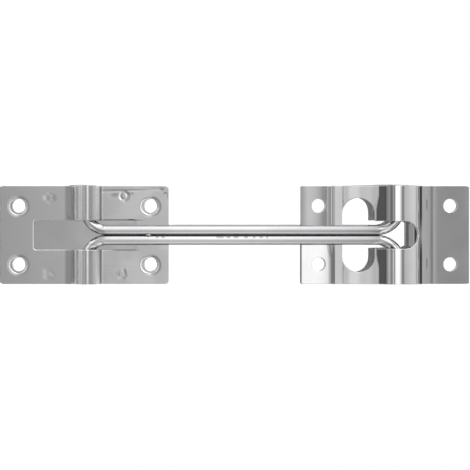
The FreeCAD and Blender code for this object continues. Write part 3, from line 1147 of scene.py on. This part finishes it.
    def keyhole(self) -> Loop:
        """Draws the keyhole in plan: an oval with a round-ended slot to its right.

        Returns:
            The outline's points, anticlockwise.
        """
        lay = self.layout
        oval_x = lay.keeper_head_x - self.oval_distance
        radius = self.oval_width / 2
        straight = self.oval_length / 2 - radius
        slot_half = lay.slot_half(self.slot_side_gap)
        round_x = lay.keeper_head_x + self.roll_reach - self.slot_end_land - slot_half
        right = [(round_x, -slot_half)] + arc_points((round_x, 0.0), slot_half, -90.0, 90.0, 5.0)[1:]
        upper = [(oval_x + radius, slot_half), (oval_x + radius, straight)]
        upper += arc_points((oval_x, straight), radius, 0.0, 180.0, 6.0)[1:]
        lower = arc_points((oval_x, -straight), radius, 180.0, 360.0, 6.0)
        return right + upper + lower + [(oval_x + radius, -slot_half)]


# ---- Arm ----

def geometry_group(name: str, inputs: dict[str, object]) -> Nodes:
    """Starts a Geometry Nodes group that also takes and gives a geometry."""
    return Nodes.group(name, GEOMETRY_TREE, {"Geometry": GEOMETRY, **inputs, "Material": MATERIAL},
                       {"Geometry": GEOMETRY})


def finish_group(group: Nodes, shape: Socket) -> None:
    """Ends a group: the shape is made real and given the group's material."""
    real = group.add("GeometryNodeRealizeInstances", {"Geometry": shape}).outputs["Geometry"]
    paint = group.add("GeometryNodeSetMaterial", {"Geometry": real, "Material": group.given["Material"]})
    group.give({"Geometry": paint.outputs["Geometry"]})


def grown(name: str, source: bpy.types.ID, group: Nodes, values: dict[str, object]) -> Object:
    """Runs a group on a curve or mesh and keeps the result as a plain mesh.

    Args:
        name: The finished object's name.
        source: The curve or mesh that the group starts from.
        group: The Geometry Nodes group.
        values: The value of each named input.

    Returns:
        The finished object, smooth and with no modifier.
    """
    holder = linked(bpy.data.objects.new(name + "_path", source))
    modifier = holder.modifiers.new("grow", "NODES")
    modifier.node_group = group.tree
    for item in group.tree.interface.items_tree:
        if item.in_out == "INPUT" and item.name in values:
            modifier[item.identifier] = values[item.name]
    view = bpy.context.evaluated_depsgraph_get()
    mesh = bpy.data.meshes.new_from_object(holder.evaluated_get(view), depsgraph=view)
    bpy.data.objects.remove(holder)
    mesh.name = name
    smoothed(mesh)
    return linked(bpy.data.objects.new(name, mesh))


@dataclass
class Arm:
    """The arm: two bent rods side by side, held together by short weld beads in their groove."""

    layout: Layout
    head_length: float = 31.8
    end_chamfer: float = 0.4
    sharp_angle: float = 32.0
    bend_turn: float = 3.0
    straight_steps: int = 40
    ring_points: int = 56
    bead_length: float = 2.8
    bead_radius: float = 0.85
    bead_height: float = 1.2
    bead_segments: int = 32
    bead_rings: int = 20
    bead_seed: int = 5
    bead_sizes: Point2 = (0.93, 1.0)
    hook_bead_distance: float = 28.5
    keeper_bead_distance: float = 30.0

    def build(self) -> None:
        """Builds and dresses the rods and the beads."""
        rod_group, rod_steel = self.rod_group(), ROD.material()
        for side, node in ((Side.UPPER, "arm_rod_upper"), (Side.LOWER, "arm_rod_lower")):
            rod = grown("bent_rod_" + side.name.lower(), self.path(side), rod_group,
                        {"Diameter": self.layout.rod_diameter * MM, "Ring points": self.ring_points,
                         "Material": rod_steel})
            rod.data.set_sharp_from_angle(angle=math.radians(self.sharp_angle))
            dress(rod, rod_steel, "arm", node)
        weld_steel = WELD.material()
        beads = grown("seam_weld_beads", self.bead_places(), self.bead_group(),
                      {"Length": self.bead_length * MM, "Radius": self.bead_radius * MM, "Seed": self.bead_seed,
                       "Material": weld_steel})
        dress(beads, weld_steel, "arm", "arm_welds")

    def path(self, side: Side) -> bpy.types.Curve:
        """Lays out a rod's axis, thinner at both ends for the chamfers.

        Args:
            side: Which rod.

        Returns:
            The axis as a curve of straight points.
        """
        lay = self.layout
        line_y, tip_y = lay.rod_offset, self.head_length / 2
        hook_bend, keeper_bend = lay.hook_bend_radius, lay.keeper_bend_radius
        start_x, end_x = lay.hook_head_x + hook_bend, lay.keeper_head_x - keeper_bend
        middle = arc_points((start_x, line_y + hook_bend), hook_bend, 180.0, 270.0, self.bend_turn)
        middle += [(start_x + (end_x - start_x) * index / self.straight_steps, line_y)
                   for index in range(1, self.straight_steps)]
        middle += arc_points((end_x, line_y + keeper_bend), keeper_bend, 270.0, 360.0, self.bend_turn)
        slim = 1.0 - self.end_chamfer / (lay.rod_diameter / 2)
        full_y = tip_y - self.end_chamfer
        points = [(lay.hook_head_x, tip_y, slim), (lay.hook_head_x, full_y, 1.0)]
        points += [(x, y, 1.0) for x, y in middle]
        points += [(lay.keeper_head_x, full_y, 1.0), (lay.keeper_head_x, tip_y, slim)]
        curve = bpy.data.curves.new("rod_axis_" + side.name.lower(), "CURVE")
        curve.dimensions = "3D"
        spline = curve.splines.new("POLY")
        spline.points.add(len(points) - 1)
        for target, (x, y, radius) in zip(spline.points, points):
            target.co = (x * MM, side.value * y * MM, lay.head_z * MM, 1.0)
            target.radius = radius
        return curve

    def rod_group(self) -> Nodes:
        """Makes a group that sweeps a round bar along an axis.

        Returns:
            The group.
        """
        group = geometry_group("bent_rod", {"Diameter": 0.0, "Ring points": WHOLE})
        ring = group.add("GeometryNodeCurvePrimitiveCircle", {
            "Resolution": group.given["Ring points"],
            "Radius": group.calc("MULTIPLY", group.given["Diameter"], 0.5)})
        sweep = group.add("GeometryNodeCurveToMesh", {
            "Curve": group.given["Geometry"], "Profile Curve": ring.outputs["Curve"], "Fill Caps": True,
            "Scale": group.add("GeometryNodeInputRadius").outputs["Radius"]})
        finish_group(group, sweep.outputs["Mesh"])
        return group

    def bead_places(self) -> bpy.types.Mesh:
        """Sets the middle of each bead: one on top of the seam and two below it.

        Returns:
            The middles, as the points of a mesh.
        """
        lay = self.layout
        hook_x = lay.hook_head_x + self.hook_bead_distance
        keeper_x = lay.keeper_head_x - self.keeper_bead_distance
        places = ((hook_x, self.bead_height), (hook_x, -self.bead_height), (keeper_x, -self.bead_height))
        mesh = bpy.data.meshes.new("bead_places")
        mesh.from_pydata([Vector((x, 0.0, lay.head_z + height)) * MM for x, height in places], [], [])
        return mesh

    def bead_group(self) -> Nodes:
        """Makes a group that sets a bead of an uneven size at each point.

        Returns:
            The group.
        """
        group = geometry_group("weld_beads", {"Length": 0.0, "Radius": 0.0, "Seed": WHOLE})
        ball = group.add("GeometryNodeMeshUVSphere", {"Segments": self.bead_segments, "Rings": self.bead_rings,
                                                      "Radius": 1.0})
        size = group.add("ShaderNodeCombineXYZ", {
            "X": group.calc("MULTIPLY", group.given["Length"], 0.5), "Y": group.given["Radius"],
            "Z": group.given["Radius"]})
        bead = group.add("GeometryNodeTransform", {"Geometry": ball.outputs["Mesh"],
                                                   "Scale": size.outputs["Vector"]})
        sizes = group.add("FunctionNodeRandomValue", {
            RANDOM_LOW: self.bead_sizes[0], RANDOM_HIGH: self.bead_sizes[1], "Seed": group.given["Seed"]},
            data_type="FLOAT")
        spread = group.add("GeometryNodeInstanceOnPoints", {
            "Points": group.given["Geometry"], "Instance": bead.outputs["Geometry"],
            "Scale": sizes.outputs[RANDOM_RESULT]})
        finish_group(group, spread.outputs["Instances"])
        return group


# ---- Studio ----

@dataclass
class Studio:
    """The white table, the banded sky round it, the side lamp and the camera above.

    A band is an angle from straight up, in degrees, and the sky's level there.
    """

    camera_height: float = 1000.0
    clipping: Point2 = (0.01, 20.0)
    sensor: float = 36.0
    table_side: float = 3000.0
    table_drop: float = 0.05
    table_colour: Point3 = (0.9, 0.9, 0.9)
    table_lift: float = 0.02
    lamp_strength: float = 1.06
    lamp_width: float = 2.0
    lamp_from: Point3 = (0.315, -0.05, 1.0)
    sky_on_matt: float = 0.08
    bands_across: tuple[Point2, ...] = (
        (-90, 0.3), (-84, 0.1), (-66, 0.1), (-58, 0.3), (-50, 0.5), (-44, 0.68), (-38, 0.66), (-35, 0.84),
        (-30, 0.84), (-26, 0.5), (-20, 0.38), (-12, 0.34), (-6, 0.39), (-4.6, 0.47), (-3.6, 0.68),
        (-2, 0.78), (0.5, 0.78), (1.5, 0.72), (2.9, 0.62), (4.0, 0.3), (6.8, 0.28), (8.2, 1.1), (10, 1.25),
        (20, 1.3), (23, 0.9), (29, 0.28), (32, 0.26), (38, 0.6), (64, 0.74), (90, 0.5))
    bands_upward: tuple[Point2, ...] = (
        (-90, 0.9), (-56, 1.1), (-31, 0.67), (-8, 0.93), (0, 1.0), (17, 1.4), (42, 1.75), (69, 1.8), (90, 1.0))

    def build(self) -> None:
        """Builds the camera, the sky, the lamp and the table."""
        self.camera()
        self.sky()
        self.lamp()
        self.table()

    def camera(self) -> None:
        """Sets the camera straight above the catch's middle, with the photo's field of view."""
        data = bpy.data.cameras.new("camera")
        data.sensor_width = self.sensor
        data.lens = self.sensor * self.camera_height / (PHOTO_SIDE * MM_PER_PIXEL)
        data.clip_start, data.clip_end = self.clipping
        made = linked(bpy.data.objects.new("camera", data))
        made.location = (0.0, 0.0, self.camera_height * MM)
        bpy.context.scene.camera = made

    def sky(self) -> None:
        """Lights the scene with grey and bright bands across the sky."""
        world = bpy.data.worlds.new("studio_sky")
        bpy.context.scene.world = world
        world.use_nodes = True
        world.node_tree.nodes.clear()
        nodes = Nodes(world.node_tree)
        ahead = nodes.add("ShaderNodeTexCoord").outputs["Generated"]
        axes = nodes.add("ShaderNodeSeparateXYZ", {"Vector": ahead}).outputs
        matt_ray = nodes.add("ShaderNodeLightPath").outputs["Is Diffuse Ray"]
        less = nodes.calc("MULTIPLY", matt_ray, 1.0 - self.sky_on_matt)
        light = nodes.add("ShaderNodeBackground", {
            "Color": nodes.calc("MULTIPLY", self.banded(nodes, axes["X"], self.bands_across),
                                self.banded(nodes, axes["Y"], self.bands_upward)),
            "Strength": nodes.calc("SUBTRACT", 1.0, less)})
        nodes.add("ShaderNodeOutputWorld", {"Surface": light.outputs["Background"]})

    @staticmethod
    def banded(nodes: Nodes, sine: Socket, bands: tuple[Point2, ...]) -> Socket:
        """Turns a direction into the sky's level.

        Args:
            nodes: The sky's nodes.
            sine: The direction's part along one axis, which is the sine of its angle.
            bands: Angle in degrees and level of each band, in order.

        Returns:
            The level's socket.
        """
        share = nodes.calc("ADD", nodes.calc("DIVIDE", nodes.calc("ARCSINE", sine), math.pi), 0.5)
        ramp = nodes.add("ShaderNodeValToRGB", {"Fac": share})
        ramp.color_ramp.interpolation = "EASE"
        elements = ramp.color_ramp.elements
        elements[0].position, elements[1].position = 0.0, 1.0
        for degrees, _ in bands[1:-1]:
            elements.new(degrees / 180 + 0.5)
        for element, (_, level) in zip(elements, bands):
            element.color = (level, level, level, 1.0)
        return ramp.outputs["Color"]

    def lamp(self) -> None:
        """Hangs a distant lamp over the keeper's side, for the small shadows inside the keyhole."""
        data = bpy.data.lights.new("side_lamp", "SUN")
        data.energy = self.lamp_strength * math.pi
        data.angle = math.radians(self.lamp_width)
        made = linked(bpy.data.objects.new("side_lamp", data))
        made.rotation_euler = Vector(self.lamp_from).to_track_quat("Z", "Y").to_euler()
        made.visible_glossy = False

    def table(self) -> None:
        """Lays a white table top just under the plates, which keeps a faint shadow."""
        half, height = self.table_side / 2 * MM, -self.table_drop * MM
        mesh = bpy.data.meshes.new("table_top")
        mesh.from_pydata([(-half, -half, height), (half, -half, height), (half, half, height),
                          (-half, half, height)], [], [(0, 1, 2, 3)])
        made = linked(bpy.data.objects.new("table_top", mesh))
        paint = bpy.data.materials.new("white_table")
        paint.use_nodes = True
        paint.node_tree.nodes.clear()
        nodes = Nodes(paint.node_tree)
        matt = nodes.add("ShaderNodeBsdfDiffuse", {"Color": (*self.table_colour, 1.0)})
        path = nodes.add("ShaderNodeLightPath").outputs
        mirrored = nodes.calc("ADD", path["Is Glossy Ray"], path["Is Transmission Ray"])
        seen = nodes.calc("ADD", path["Is Camera Ray"], mirrored, clamp=True)
        lift = nodes.add("ShaderNodeEmission", {"Strength": nodes.calc("MULTIPLY", seen, self.table_lift)})
        both = nodes.add("ShaderNodeAddShader", {0: matt.outputs["BSDF"], 1: lift.outputs["Emission"]})
        nodes.add("ShaderNodeOutputMaterial", {"Surface": both.outputs["Shader"]})
        mesh.materials.append(paint)


def main() -> None:
    """Builds the catch and the studio."""
    logging.basicConfig(level=logging.INFO, format="%(name)s %(message)s")
    bpy.context.scene.view_settings.view_transform = "Standard"
    for make_group in (rolled_grain_group, handling_group, painted_light_line_group, rim_wear_and_highlight_group):
        make_group()
    layout = Layout()
    for part in (HookPlate(layout), Arm(layout), Keeper(layout), Studio()):
        part.build()
    bpy.context.view_layer.update()


if __name__ == "__main__":
    main()
